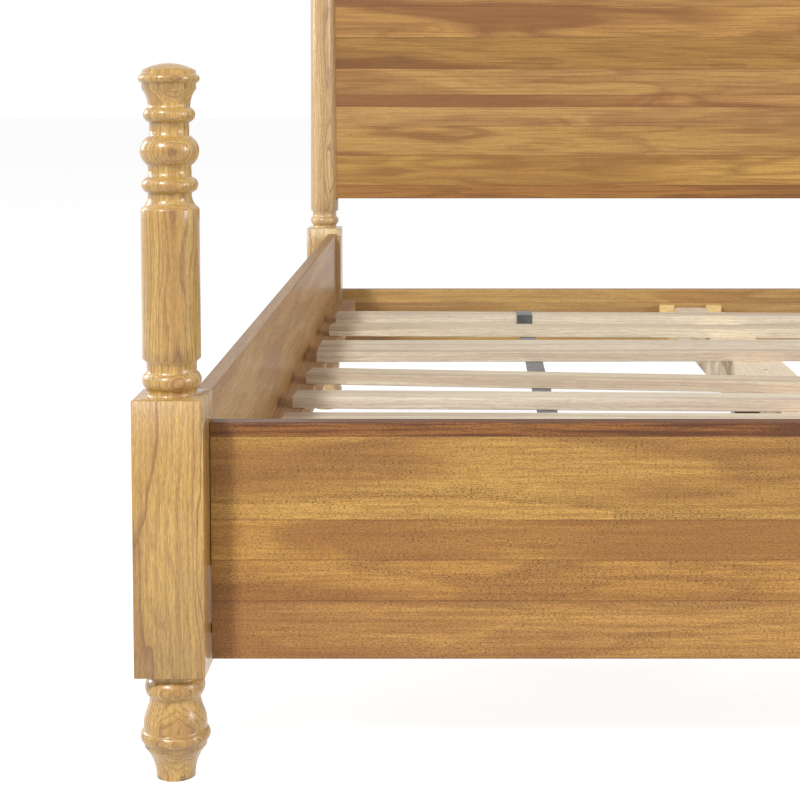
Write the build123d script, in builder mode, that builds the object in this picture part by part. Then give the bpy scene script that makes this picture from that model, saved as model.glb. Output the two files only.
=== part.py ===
"""A slatted platform bed with four turned posts, edge-glued panels and a loose roll of slats.

Millimetres. X runs across the bed, Y from the foot to the head and Z up. The origin is on the
floor, under the middle of the bed.
"""
import os
from math import atan2, degrees

from build123d import *

os.makedirs("parts", exist_ok=True)

# The mattress that the bed is made for, and the room round it
mattress_width = 1524.0
mattress_length = 2032.0
side_clearance = 5.0
end_clearance = 10.0

# Posts: a square block between a turned foot and a turned column
post_block = 73.0
block_height = 287.0
block_edge_radius = 1.2
block_end_chamfer = 0.8
foot_column_length = 152.9
head_column_length = 630.9
column_radius = 30.1
foot_column_top_radius = 29.9
head_column_top_radius = 27.5

# Lathe patterns, read upwards. Each cut is its height, the radius it ends on and, where it is
# round, the radius half way up.
foot_bottom_radius = 20.3
foot_pattern = [
    (33.6, 32.6, 22.9),
    (4.1, 32.6),
    (13.6, 32.7, 36.4),
    (17.7, 30.7, 32.9),
    (16.5, 26.1, 27.7),
    (21.0, 26.1, 31.4),
    (7.5, 27.0),
]
base_neck_radius = 25.8
base_pattern = [
    (7.1, 25.8),
    (17.5, 25.8, 30.6),
    (10.3, 25.8),
    (3.7, column_radius),
]
finial_pattern = [
    (1.6, 29.3),
    (10.1, 22.4, 24.4),
    (5.7, 22.4),
    (16.1, 22.1, 28.8),
    (11.7, 22.1),
    (30.6, 20.2, 30.1),
    (13.5, 20.2),
    (15.1, 21.3, 26.4),
    (18.9, 27.6, 22.7),
    (5.8, 27.6),
    (9.4, 27.6, 31.1),
    (3.8, 27.1),
]
finial_dome_height = 7.2

# Panels, glued up from boards. Heights run from the lowest board to the highest.
footboard_boards = [62.2, 43.4, 42.4, 87.9, 14.7]
footboard_thickness = 22.0
footboard_inset = 4.0
footboard_below_block_top = 31.0
headboard_boards = [29.0, 65.0, 64.0, 42.0, 26.0, 57.0, 68.0, 67.0, 52.0, 56.0, 50.0]
headboard_thickness = 20.0
headboard_above_block_top = 64.0
head_rail_boards = [112.6, 30.0]
head_rail_thickness = 20.0
head_rail_inset = 3.0
panel_edge_radius = 1.8
panel_end_gap = 0.8

# The headboard's ends stand in grooves in the head posts
groove_floor = 12.0
groove_side_gap = 0.15
groove_end_gap = 0.3

# Side rails, their ledgers and the cleat at each rail's head end
side_rail_boards = [90.0, 90.0, 90.0]
side_rail_thickness = 20.0
side_rail_inset = 8.0
side_rail_below_block_top = 12.0
ledger_width = 40.0
ledger_height = 35.0
ledger_above_rail_bottom = 91.0
ledger_end_gap = 6.0
ledger_screw_count = 8
ledger_screw_margin = 110.0
cleat_thickness = 9.0
cleat_length = 32.0
cleat_below_rail_top = 4.0
cleat_screw_margin = 25.0

# Slats, laid by hand as they unroll: the place of each one's middle and its turn in degrees
slat_width = 60.0
slat_thickness = 17.3
slat_edge_radius = 1.5
slat_end_gap = 16.0
slat_places = [-975.0, -800.0, -620.0, -442.0, -281.5, -127.4, 185.9, 266.0, 459.5, 638.0]
slat_turns = [0.4, -0.6, 0.5, -0.8, -2.2, -6.4, 0.8, 0.6, -2.0, -1.8]

# Webbing straps under the slats, turned up over the last slat, with one tack in each slat
strap_width = 30.0
strap_thickness = 1.4
strap_offset = 380.0
strap_gap = 0.3
strap_foot_tail = 24.0
strap_head_tail = 12.0
tack_head_radius = 4.0
tack_head_height = 1.0
tack_pin_radius = 1.1
tack_pin_length = 12.0
tack_gap = 0.1

# Centre beam: a bearer in a pocket at each end, and a wider cap that carries the slats
bearer_width = 70.0
bearer_height = 62.0
bearer_end_gap = 1.0
cap_width = 84.0
cap_height = 23.0
cap_foot_end_gap = 3.0
cap_head_end_gap = 258.0
cap_screw_count = 6
cap_screw_margin = 90.0
pocket_block_depth = 24.0
seat_block_width = 96.0
seat_block_height = 38.0
cheek_block_width = 32.0
cheek_block_height = 45.0
cheek_above_bearer = 8.0
pocket_gap = 0.5

# Centre leg, bolted to the bearer's left side
leg_width = 38.0
leg_depth = 45.0
leg_place = -60.0
leg_below_bearer_top = 7.0
leg_bolt_spacing = 26.0
leg_bolt_radius = 4.0
leg_bolt_head_radius = 9.0
leg_bolt_head_height = 3.6
leg_bolt_end = 3.0
leg_nut_radius = 7.5
leg_nut_height = 6.5
leg_washer_radius = 10.0
leg_washer_height = 1.6
bolt_gap = 0.25
nut_gap = 0.05
glide_radius = 14.0
glide_height = 4.0

# Rail hardware: a hook plate let into each rail end and a slotted plate let into each post
plate_height = 130.0
plate_width = 14.0
plate_thickness = 3.0
plate_gap = 0.15
hook_spacing = 56.0
hook_thickness = 3.0
hook_height = 12.0
hook_lip_height = 8.0
hook_lip_thickness = 4.0
hook_lip_gap = 0.3
slot_gap = 0.3
slot_height = 26.0
hook_pocket_gap = 2.0

# Wood screws with countersunk heads, and beech dowels
screw_head_radius = 4.2
screw_head_height = 3.0
screw_radius = 2.0
screw_gap = 0.12
ledger_screw_length = 54.0
block_screw_length = 38.0
cap_screw_length = 50.0
short_screw_length = 27.0
plate_screw_inset = 9.0
dowel_radius = 5.0
dowel_length = 40.0
dowel_gap = 0.1
dowel_end_gap = 1.0
footboard_dowel_heights = [30.0, 125.0, 215.0]
head_rail_dowel_margin = 28.0

# Widths and places across the bed
sides = [("left", -1), ("right", 1)]
inner_half = mattress_width / 2 + side_clearance
post_x = inner_half + post_block / 2
rail_inner_half = inner_half + side_rail_inset
rail_x = rail_inner_half + side_rail_thickness / 2

# Places along the bed, with the middle of its overall length at zero
well_length = mattress_length + 2 * end_clearance
post_spacing = well_length + headboard_thickness / 2 + post_block / 2 - footboard_inset
head_post_y = post_spacing / 2
foot_post_y = -head_post_y
foot_inner_y = foot_post_y + post_block / 2
head_inner_y = head_post_y - post_block / 2
footboard_inner_y = foot_inner_y - footboard_inset
footboard_outer_y = footboard_inner_y - footboard_thickness
head_rail_outer_y = head_post_y + post_block / 2 - head_rail_inset
head_rail_inner_y = head_rail_outer_y - head_rail_thickness
headboard_front_y = head_post_y - headboard_thickness / 2
cap_foot_y = footboard_inner_y + pocket_block_depth + cap_foot_end_gap
cap_head_y = head_rail_inner_y - cap_head_end_gap

# Heights
block_bottom = sum(cut[0] for cut in foot_pattern)
block_top = block_bottom + block_height
footboard_top = block_top - footboard_below_block_top
footboard_bottom = footboard_top - sum(footboard_boards)
side_rail_top = block_top - side_rail_below_block_top
side_rail_bottom = side_rail_top - sum(side_rail_boards)
headboard_bottom = block_top + headboard_above_block_top
headboard_top = headboard_bottom + sum(headboard_boards)
ledger_bottom = side_rail_bottom + ledger_above_rail_bottom
slat_bottom = ledger_bottom + ledger_height
slat_top = slat_bottom + slat_thickness
head_rail_top = slat_top
head_rail_bottom = head_rail_top - sum(head_rail_boards)
bearer_top = slat_bottom - cap_height
bearer_bottom = bearer_top - bearer_height
plate_z = (side_rail_bottom + side_rail_top) / 2


def brick(x, y, z, mode=Mode.ADD):
    """A box between two corners, given as two values on each axis."""
    middle = ((x[0] + x[1]) / 2, (y[0] + y[1]) / 2, (z[0] + z[1]) / 2)
    with Locations(middle):
        Box(abs(x[1] - x[0]), abs(y[1] - y[0]), abs(z[1] - z[0]), mode=mode)


def facing(point, direction):
    """A plane at a point, whose Z axis looks out along a direction."""
    return Plane(origin=point, z_dir=direction)


def spread(first, last, count):
    """Evenly spaced values from the first to the last."""
    return [first + (last - first) * step / (count - 1) for step in range(count)]


def stack(bottom, heights):
    """The low and high value of each board in a panel."""
    joints = [bottom + sum(heights[:count]) for count in range(len(heights) + 1)]
    return list(zip(joints, joints[1:]))


# Slats and straps: a slat's place on a line along the bed follows its turn


def slat_y(place, turn, x):
    """Where the middle of a slat crosses the line at x."""
    across = Vector(1, 0, 0).rotate(Axis.Z, turn)
    return place + x * across.Y / across.X


def tack_places():
    """The places of the tacks that go up through the straps, and of those that go down."""
    rising = []
    falling = []
    for index, (place, turn) in enumerate(zip(slat_places, slat_turns)):
        into = falling if index == len(slat_places) - 1 else rising
        into += [(side * strap_offset, slat_y(place, turn, side * strap_offset)) for _, side in sides]
    return rising, falling


strap_top = slat_bottom - strap_gap
strap_bottom = strap_top - strap_thickness
strap_over = slat_top + strap_gap
rising_tacks, falling_tacks = tack_places()
tack_planes = [facing((x, y, strap_bottom), (0, 0, -1)) for x, y in rising_tacks]
tack_planes += [facing((x, y, strap_over + strap_thickness), (0, 0, 1)) for x, y in falling_tacks]


def tack_holes():
    """The holes for all the tacks' pins."""
    with Locations(*tack_planes):
        depth = tack_pin_length + tack_gap
        below = (Align.CENTER, Align.CENTER, Align.MAX)
        Cylinder(tack_pin_radius + tack_gap, depth, align=below, mode=Mode.SUBTRACT)


# Screws, dowels and plates: the planes that they sit on, shared by the pieces that hold them


def screw(length, gap=0.0, mode=Mode.ADD):
    """A countersunk screw down its place's Z axis, or the hole for it when there is a gap."""
    below = (Align.CENTER, Align.CENTER, Align.MAX)
    Cylinder(screw_radius + gap, length + gap, align=below, mode=mode)
    Cone(screw_radius + gap, screw_head_radius + gap, screw_head_height, align=below, mode=mode)


def screw_holes(planes, length):
    """The holes for the screws on some planes."""
    with Locations(*planes):
        screw(length, screw_gap, Mode.SUBTRACT)


def ledger_screw_planes(side):
    """The screws through a ledger, at its inner face."""
    reach = head_inner_y - ledger_screw_margin
    places = spread(-reach, reach, ledger_screw_count)
    x = side * (rail_inner_half - ledger_width)
    return [facing((x, y, ledger_bottom + ledger_height / 2), (-side, 0, 0)) for y in places]


def cleat_screw_planes(side):
    """The screws through a rail's cleat, at its inner face."""
    heights = (slat_bottom + cleat_screw_margin, side_rail_top - cleat_below_rail_top - cleat_screw_margin)
    x = side * (rail_inner_half - cleat_thickness)
    return [facing((x, head_inner_y - cleat_length / 2, z), (-side, 0, 0)) for z in heights]


def plate_screw_planes(side, face_y, way):
    """The two screws in a plate whose face is at face_y and looks along Y."""
    reach = plate_height / 2 - plate_screw_inset
    return [facing((side * rail_x, face_y, plate_z + up * reach), (0, way, 0)) for up in (-1, 1)]


def pocket_screw_planes(face_y, way):
    """The screws through the seat and cheek blocks at one end of the beam."""
    seat_z = bearer_bottom - seat_block_height / 2
    cheek_x = bearer_width / 2 + pocket_gap + cheek_block_width / 2
    cheek_z = bearer_top + cheek_above_bearer - cheek_block_height / 2
    points = [(side * seat_block_width / 4, seat_z) for _, side in sides]
    points += [(side * cheek_x, cheek_z) for _, side in sides]
    return [facing((x, face_y, z), (0, way, 0)) for x, z in points]


foot_pocket_screws = pocket_screw_planes(footboard_inner_y + pocket_block_depth, 1)
head_pocket_screws = pocket_screw_planes(head_rail_inner_y - pocket_block_depth, -1)
cap_screw_planes = [
    facing((0, y, slat_bottom), (0, 0, 1))
    for y in spread(cap_foot_y + cap_screw_margin, cap_head_y - cap_screw_margin, cap_screw_count)
]

footboard_middle_y = (footboard_inner_y + footboard_outer_y) / 2
head_rail_middle_y = (head_rail_inner_y + head_rail_outer_y) / 2
foot_dowels = [(footboard_middle_y, footboard_bottom + height) for height in footboard_dowel_heights]
head_dowels = [
    (head_rail_middle_y, head_rail_bottom + head_rail_dowel_margin),
    (head_rail_middle_y, head_rail_bottom + head_rail_boards[0] - head_rail_dowel_margin),
]


def dowel_planes(side, places):
    """Where dowels cross the inner side of a post."""
    return [facing((side * inner_half, y, z), (-side, 0, 0)) for y, z in places]


def dowel_holes(side, places):
    """The holes for dowels that cross the inner side of a post."""
    with Locations(*dowel_planes(side, places)):
        Cylinder(dowel_radius + dowel_gap, dowel_length + 2 * dowel_end_gap, mode=Mode.SUBTRACT)


hook_heights = (plate_z - hook_spacing / 2, plate_z + hook_spacing / 2)
plate_ends = [(foot_inner_y, -1), (head_inner_y, 1)]


def plate_recess(side, face_y, into):
    """The recess for a plate in a face at face_y, sunk along Y."""
    half = plate_width / 2 + plate_gap
    reach = plate_height / 2 + plate_gap
    across = (side * rail_x - half, side * rail_x + half)
    depth = (face_y, face_y + into * plate_thickness)
    brick(across, depth, (plate_z - reach, plate_z + reach), Mode.SUBTRACT)


def hook_pockets(side, face_y, into):
    """The pockets in a post behind its slotted plate, where the hooks drop."""
    half = hook_thickness / 2 + hook_pocket_gap
    start = face_y + into * plate_thickness
    end = start + into * (hook_lip_gap + hook_lip_thickness + hook_pocket_gap)
    for z in hook_heights:
        low = z - slot_height / 2 - hook_lip_height
        across = (side * rail_x - half, side * rail_x + half)
        brick(across, (start, end), (low, z + slot_height / 2), Mode.SUBTRACT)


def dome(edge, height):
    """Half the outline of a round cap, from its edge up to the axis."""
    radius = (edge[0] ** 2 + height ** 2) / (2 * height)
    start = degrees(atan2(radius - height, edge[0]))
    CenterArc((0, edge[1] + height - radius), radius, start, 90 - start)


def lathe_outline(bottom_radius, bottom, cuts, dome_height=0.0):
    """Half a turned piece: out from its axis, up through the cuts and back to the axis."""
    at = (bottom_radius, bottom)
    Line((0, bottom), at)
    for cut in cuts:
        end = (cut[1], at[1] + cut[0])
        if len(cut) == 3:
            ThreePointArc(at, (cut[2], at[1] + cut[0] / 2), end)
        else:
            Line(at, end)
        at = end
    if dome_height:
        dome(at, dome_height)
    else:
        Line(at, (0, at[1]))
    Line((0, at[1] + dome_height), (0, bottom))


def lathe_plane(x, y):
    """The upright plane of a post's outline, through its axis."""
    return Plane(origin=(x, y, 0), x_dir=(1, 0, 0), z_dir=(0, -1, 0))


# Foot posts: turned foot, square block and short column with a finial, from one piece of timber
for side_name, side in sides:
    x = side * post_x
    with BuildPart() as foot_post:
        with BuildSketch(Plane(origin=(x, foot_post_y, block_bottom))):
            RectangleRounded(post_block, post_block, block_edge_radius)
        extrude(amount=block_height)
        chamfer(foot_post.faces().filter_by(Axis.Z).edges(), block_end_chamfer)
        with BuildSketch(lathe_plane(x, foot_post_y)):
            with BuildLine():
                lathe_outline(foot_bottom_radius, 0, foot_pattern)
            make_face()
            with BuildLine():
                cuts = base_pattern + [(foot_column_length, foot_column_top_radius)] + finial_pattern
                lathe_outline(base_neck_radius, block_top, cuts, finial_dome_height)
            make_face()
        revolve(axis=Axis((x, foot_post_y, 0), (0, 0, 1)))
        dowel_holes(side, foot_dowels)
        plate_recess(side, foot_inner_y, -1)
        hook_pockets(side, foot_inner_y, -1)
        screw_holes(plate_screw_planes(side, foot_inner_y, 1), short_screw_length)
    foot_post.part.label = f"foot_post_{side_name}"
    export_step(foot_post.part, f"parts/foot_post_{side_name}.step")

# Head posts: the same pattern with a long tapered column, grooved for the headboard
for side_name, side in sides:
    x = side * post_x
    groove_half = headboard_thickness / 2 + groove_side_gap
    with BuildPart() as head_post:
        with BuildSketch(Plane(origin=(x, head_post_y, block_bottom))):
            RectangleRounded(post_block, post_block, block_edge_radius)
        extrude(amount=block_height)
        chamfer(head_post.faces().filter_by(Axis.Z).edges(), block_end_chamfer)
        with BuildSketch(lathe_plane(x, head_post_y)):
            with BuildLine():
                lathe_outline(foot_bottom_radius, 0, foot_pattern)
            make_face()
            with BuildLine():
                cuts = base_pattern + [(head_column_length, head_column_top_radius)] + finial_pattern
                lathe_outline(base_neck_radius, block_top, cuts, finial_dome_height)
            make_face()
        revolve(axis=Axis((x, head_post_y, 0), (0, 0, 1)))
        brick(
            (side * (post_x - groove_floor), side * (post_x - post_block)),
            (head_post_y - groove_half, head_post_y + groove_half),
            (headboard_bottom - groove_end_gap, headboard_top + groove_end_gap),
            Mode.SUBTRACT,
        )
        dowel_holes(side, head_dowels)
        plate_recess(side, head_inner_y, 1)
        hook_pockets(side, head_inner_y, 1)
        screw_holes(plate_screw_planes(side, head_inner_y, -1), short_screw_length)
    head_post.part.label = f"head_post_{side_name}"
    export_step(head_post.part, f"parts/head_post_{side_name}.step")


def ease_long_edges(along, heights):
    """Round over the long edges of the board being made that lie at the panel's own edges."""
    for height in heights:
        long_edges = edges().filter_by(along).filter_by_position(Axis.Z, height - 0.01, height + 0.01)
        if long_edges:
            fillet(long_edges, panel_edge_radius)


# Footboard: boards glued edge to edge, dowelled to the foot posts
for number, (low, high) in enumerate(stack(footboard_bottom, footboard_boards), start=1):
    with BuildPart() as footboard_board:
        half = inner_half - panel_end_gap
        brick((-half, half), (footboard_outer_y, footboard_inner_y), (low, high))
        ease_long_edges(Axis.X, (footboard_bottom, footboard_top))
        for _, side in sides:
            dowel_holes(side, foot_dowels)
        screw_holes(foot_pocket_screws, block_screw_length)
    footboard_board.part.label = f"footboard_board_{number}"
    export_step(footboard_board.part, f"parts/footboard_board_{number}.step")

# Headboard: boards glued edge to edge, with their ends in the head posts' grooves
for number, (low, high) in enumerate(stack(headboard_bottom, headboard_boards), start=1):
    with BuildPart() as headboard_board:
        half = post_x - groove_floor - groove_end_gap
        brick((-half, half), (headboard_front_y, headboard_front_y + headboard_thickness), (low, high))
        ease_long_edges(Axis.X, (headboard_bottom, headboard_top))
    headboard_board.part.label = f"headboard_board_{number:02d}"
    export_step(headboard_board.part, f"parts/headboard_board_{number:02d}.step")

# Head rail: two boards glued edge to edge, level with the slats and dowelled to the head posts
for number, (low, high) in enumerate(stack(head_rail_bottom, head_rail_boards), start=1):
    with BuildPart() as head_rail_board:
        half = inner_half - panel_end_gap
        brick((-half, half), (head_rail_inner_y, head_rail_outer_y), (low, high))
        ease_long_edges(Axis.X, (head_rail_bottom, head_rail_top))
        for _, side in sides:
            dowel_holes(side, head_dowels)
        screw_holes(head_pocket_screws, block_screw_length)
    head_rail_board.part.label = f"head_rail_board_{number}"
    export_step(head_rail_board.part, f"parts/head_rail_board_{number}.step")

# Side rails: boards glued edge to edge, with a hook plate let into each end
for side_name, side in sides:
    for number, (low, high) in enumerate(stack(side_rail_bottom, side_rail_boards), start=1):
        with BuildPart() as side_rail_board:
            across = (side * rail_inner_half, side * (rail_inner_half + side_rail_thickness))
            brick(across, (foot_inner_y, head_inner_y), (low, high))
            ease_long_edges(Axis.Y, (side_rail_bottom, side_rail_top))
            for face_y, out in plate_ends:
                plate_recess(side, face_y, -out)
                screw_holes(plate_screw_planes(side, face_y, out), short_screw_length)
            screw_holes(ledger_screw_planes(side), ledger_screw_length)
            screw_holes(cleat_screw_planes(side), short_screw_length)
        side_rail_board.part.label = f"side_rail_{side_name}_board_{number}"
        export_step(side_rail_board.part, f"parts/side_rail_{side_name}_board_{number}.step")

# Ledgers: battens screwed inside the side rails, on which the slats' ends rest
for side_name, side in sides:
    with BuildPart() as ledger:
        brick(
            (side * (rail_inner_half - ledger_width), side * rail_inner_half),
            (foot_inner_y + ledger_end_gap, head_inner_y - ledger_end_gap),
            (ledger_bottom, slat_bottom),
        )
        screw_holes(ledger_screw_planes(side), ledger_screw_length)
    ledger.part.label = f"ledger_{side_name}"
    export_step(ledger.part, f"parts/ledger_{side_name}.step")

# Cleats: upright battens screwed inside the side rails' head ends
with BuildPart() as rail_cleats:
    for _, side in sides:
        brick(
            (side * (rail_inner_half - cleat_thickness), side * rail_inner_half),
            (head_inner_y - cleat_length, head_inner_y),
            (slat_bottom, side_rail_top - cleat_below_rail_top),
        )
        screw_holes(cleat_screw_planes(side), short_screw_length)
rail_cleats.part.label = "rail_cleats"
export_step(rail_cleats.part, "parts/rail_cleats.step")

# Slats: pale softwood boards, resting on the ledgers and on the beam's cap
for number, (place, turn) in enumerate(zip(slat_places, slat_turns), start=1):
    with BuildPart() as slat:
        with BuildSketch(Plane(origin=(0, place, slat_bottom)).rotated((0, 0, turn))):
            Rectangle(2 * (inner_half - slat_end_gap), slat_width)
        extrude(amount=slat_thickness)
        fillet(slat.edges().group_by(SortBy.LENGTH)[-1], slat_edge_radius)
        tack_holes()
    slat.part.label = f"slat_{number:02d}"
    export_step(slat.part, f"parts/slat_{number:02d}.step")

# Straps: flat webbing under the slats, which turns up and over the last slat at the head end
for side_name, side in sides:
    x = side * strap_offset
    across = (x - strap_width / 2, x + strap_width / 2)
    last_slat = (slat_places[-1], slat_turns[-1])
    crossings = [slat_y(*last_slat, edge) for edge in across]
    front = min(crossings) - slat_width / 2 - strap_gap
    back = max(crossings) + slat_width / 2 + strap_gap
    start = slat_y(slat_places[0], slat_turns[0], x) - strap_foot_tail
    with BuildPart() as strap:
        brick(across, (start, front), (strap_bottom, strap_top))
        brick(across, (front - strap_thickness, front), (strap_bottom, strap_over + strap_thickness))
        brick(across, (front, back + strap_thickness), (strap_over, strap_over + strap_thickness))
        brick(across, (back, back + strap_thickness), (strap_over - strap_head_tail, strap_over))
        tack_holes()
    strap.part.label = f"slat_strap_{side_name}"
    export_step(strap.part, f"parts/slat_strap_{side_name}.step")

# Tacks: one through each strap into each slat
with BuildPart() as strap_tacks:
    below = (Align.CENTER, Align.CENTER, Align.MAX)
    above = (Align.CENTER, Align.CENTER, Align.MIN)
    with Locations(*tack_planes):
        Cylinder(tack_head_radius, tack_head_height, align=above)
        Cylinder(tack_pin_radius, tack_pin_length, align=below)
strap_tacks.part.label = "strap_tacks"
export_step(strap_tacks.part, "parts/strap_tacks.step")

# Centre beam: the bearer, which stands in the pockets at the footboard and the head rail
leg_x = -(bearer_width / 2 + leg_width / 2)
leg_bolt_heights = [(bearer_top + bearer_bottom) / 2 + up * leg_bolt_spacing / 2 for up in (-1, 1)]
leg_outer_x = leg_x - leg_width / 2


def leg_bolt_holes():
    """The holes for the bolts that go through the leg and the bearer."""
    with Locations(*[facing((leg_x, leg_place, z), (1, 0, 0)) for z in leg_bolt_heights]):
        Cylinder(leg_bolt_radius + bolt_gap, 2 * (leg_width + bearer_width), mode=Mode.SUBTRACT)


with BuildPart() as beam_bearer:
    brick(
        (-bearer_width / 2, bearer_width / 2),
        (footboard_inner_y + bearer_end_gap, head_rail_inner_y - bearer_end_gap),
        (bearer_bottom, bearer_top),
    )
    screw_holes(cap_screw_planes, cap_screw_length)
    leg_bolt_holes()
beam_bearer.part.label = "beam_bearer"
export_step(beam_bearer.part, "parts/beam_bearer.step")

# The cap: a wider board screwed down on the bearer, level with the ledgers' tops
with BuildPart() as beam_cap:
    brick((-cap_width / 2, cap_width / 2), (cap_foot_y, cap_head_y), (bearer_top, slat_bottom))
    screw_holes(cap_screw_planes, cap_screw_length)
beam_cap.part.label = "beam_cap"
export_step(beam_cap.part, "parts/beam_cap.step")

# Pocket blocks: a seat under each end of the bearer, and a cheek at each side of it
beam_ends = [
    ((footboard_inner_y, footboard_inner_y + pocket_block_depth), foot_pocket_screws),
    ((head_rail_inner_y - pocket_block_depth, head_rail_inner_y), head_pocket_screws),
]
with BuildPart() as seat_blocks:
    for along, screw_planes in beam_ends:
        across = (-seat_block_width / 2, seat_block_width / 2)
        brick(across, along, (bearer_bottom - seat_block_height, bearer_bottom))
        screw_holes(screw_planes, block_screw_length)
seat_blocks.part.label = "beam_seat_blocks"
export_step(seat_blocks.part, "parts/beam_seat_blocks.step")

with BuildPart() as cheek_blocks:
    cheek_top = bearer_top + cheek_above_bearer
    for along, screw_planes in beam_ends:
        for _, side in sides:
            start = side * (bearer_width / 2 + pocket_gap)
            across = (start, start + side * cheek_block_width)
            brick(across, along, (cheek_top - cheek_block_height, cheek_top))
        screw_holes(screw_planes, block_screw_length)
cheek_blocks.part.label = "beam_cheek_blocks"
export_step(cheek_blocks.part, "parts/beam_cheek_blocks.step")

# Centre leg: a square dark leg under the middle of the beam, on a nylon glide
with BuildPart() as centre_leg:
    brick(
        (leg_outer_x, leg_outer_x + leg_width),
        (leg_place - leg_depth / 2, leg_place + leg_depth / 2),
        (glide_height, bearer_top - leg_below_bearer_top),
    )
    leg_bolt_holes()
centre_leg.part.label = "centre_leg"
export_step(centre_leg.part, "parts/centre_leg.step")

with BuildPart() as leg_glide:
    with BuildSketch(Plane(origin=(leg_x, leg_place, 0))):
        Circle(glide_radius)
    extrude(amount=glide_height)
leg_glide.part.label = "leg_glide"
export_step(leg_glide.part, "parts/leg_glide.step")

# The leg's carriage bolts, and a washer and a hexagon nut on each behind the bearer
bolt_grip = leg_width + bearer_width
with BuildPart() as leg_bolts:
    for z in leg_bolt_heights:
        with BuildSketch(facing((leg_outer_x, leg_place, z), (1, 0, 0))):
            Circle(leg_bolt_radius)
        extrude(amount=bolt_grip + leg_washer_height + leg_nut_height + leg_bolt_end)
        with BuildSketch(Plane(origin=(leg_outer_x, leg_place, z), x_dir=(0, 1, 0), z_dir=(0, 0, 1))):
            with BuildLine():
                Line((0, 0), (leg_bolt_head_radius, 0))
                dome((leg_bolt_head_radius, 0), leg_bolt_head_height)
                Line((0, leg_bolt_head_height), (0, 0))
            make_face()
        revolve(axis=Axis((leg_outer_x, leg_place, z), (1, 0, 0)))
leg_bolts.part.label = "leg_bolts"
export_step(leg_bolts.part, "parts/leg_bolts.step")

with BuildPart() as leg_nuts:
    for z in leg_bolt_heights:
        bearer_side = leg_outer_x + bolt_grip
        with BuildSketch(facing((bearer_side, leg_place, z), (1, 0, 0))):
            Circle(leg_washer_radius)
            Circle(leg_bolt_radius + bolt_gap, mode=Mode.SUBTRACT)
        extrude(amount=leg_washer_height)
        with BuildSketch(facing((bearer_side + leg_washer_height + nut_gap, leg_place, z), (1, 0, 0))):
            RegularPolygon(leg_nut_radius, 6)
            Circle(leg_bolt_radius + nut_gap, mode=Mode.SUBTRACT)
        extrude(amount=leg_nut_height)
leg_nuts.part.label = "leg_nuts_and_washers"
export_step(leg_nuts.part, "parts/leg_nuts_and_washers.step")

# Hook plates in the rail ends, with two hooks each that drop behind the posts' plates
plate_heights = (plate_z - plate_height / 2, plate_z + plate_height / 2)
with BuildPart() as hook_plates:
    for _, side in sides:
        across = (side * rail_x - plate_width / 2, side * rail_x + plate_width / 2)
        blade = (side * rail_x - hook_thickness / 2, side * rail_x + hook_thickness / 2)
        for face_y, out in plate_ends:
            brick(across, (face_y, face_y - out * plate_thickness), plate_heights)
            lip_start = face_y + out * (plate_thickness + hook_lip_gap)
            lip_end = lip_start + out * hook_lip_thickness
            for z in hook_heights:
                seat = z - slot_height / 2
                brick(blade, (face_y, lip_end), (seat + slot_gap, seat + slot_gap + hook_height))
                brick(blade, (lip_start, lip_end), (seat + slot_gap - hook_lip_height, seat + slot_gap))
            screw_holes(plate_screw_planes(side, face_y, out), short_screw_length)
hook_plates.part.label = "rail_hook_plates"
export_step(hook_plates.part, "parts/rail_hook_plates.step")

with BuildPart() as slot_plates:
    for _, side in sides:
        across = (side * rail_x - plate_width / 2, side * rail_x + plate_width / 2)
        slot_half = hook_thickness / 2 + slot_gap
        slot = (side * rail_x - slot_half, side * rail_x + slot_half)
        for face_y, out in plate_ends:
            depth = (face_y, face_y + out * plate_thickness)
            brick(across, depth, plate_heights)
            for z in hook_heights:
                brick(slot, depth, (z - slot_height / 2, z + slot_height / 2), Mode.SUBTRACT)
            screw_holes(plate_screw_planes(side, face_y, -out), short_screw_length)
slot_plates.part.label = "post_slot_plates"
export_step(slot_plates.part, "parts/post_slot_plates.step")

# Screws, each size in one group
with BuildPart() as plate_screws:
    for _, side in sides:
        planes = cleat_screw_planes(side)
        for face_y, out in plate_ends:
            planes += plate_screw_planes(side, face_y, out)
            planes += plate_screw_planes(side, face_y, -out)
        with Locations(*planes):
            screw(short_screw_length)
plate_screws.part.label = "short_screws"
export_step(plate_screws.part, "parts/short_screws.step")

with BuildPart() as ledger_screws:
    for _, side in sides:
        with Locations(*ledger_screw_planes(side)):
            screw(ledger_screw_length)
ledger_screws.part.label = "ledger_screws"
export_step(ledger_screws.part, "parts/ledger_screws.step")

with BuildPart() as pocket_screws:
    with Locations(*foot_pocket_screws, *head_pocket_screws):
        screw(block_screw_length)
pocket_screws.part.label = "pocket_screws"
export_step(pocket_screws.part, "parts/pocket_screws.step")

with BuildPart() as cap_screws:
    with Locations(*cap_screw_planes):
        screw(cap_screw_length)
cap_screws.part.label = "cap_screws"
export_step(cap_screws.part, "parts/cap_screws.step")

# Dowels between the posts and the footboard and head rail
with BuildPart() as dowels:
    for _, side in sides:
        with Locations(*dowel_planes(side, foot_dowels + head_dowels)):
            Cylinder(dowel_radius, dowel_length)
dowels.part.label = "dowels"
export_step(dowels.part, "parts/dowels.step")
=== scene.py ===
import math

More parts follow.
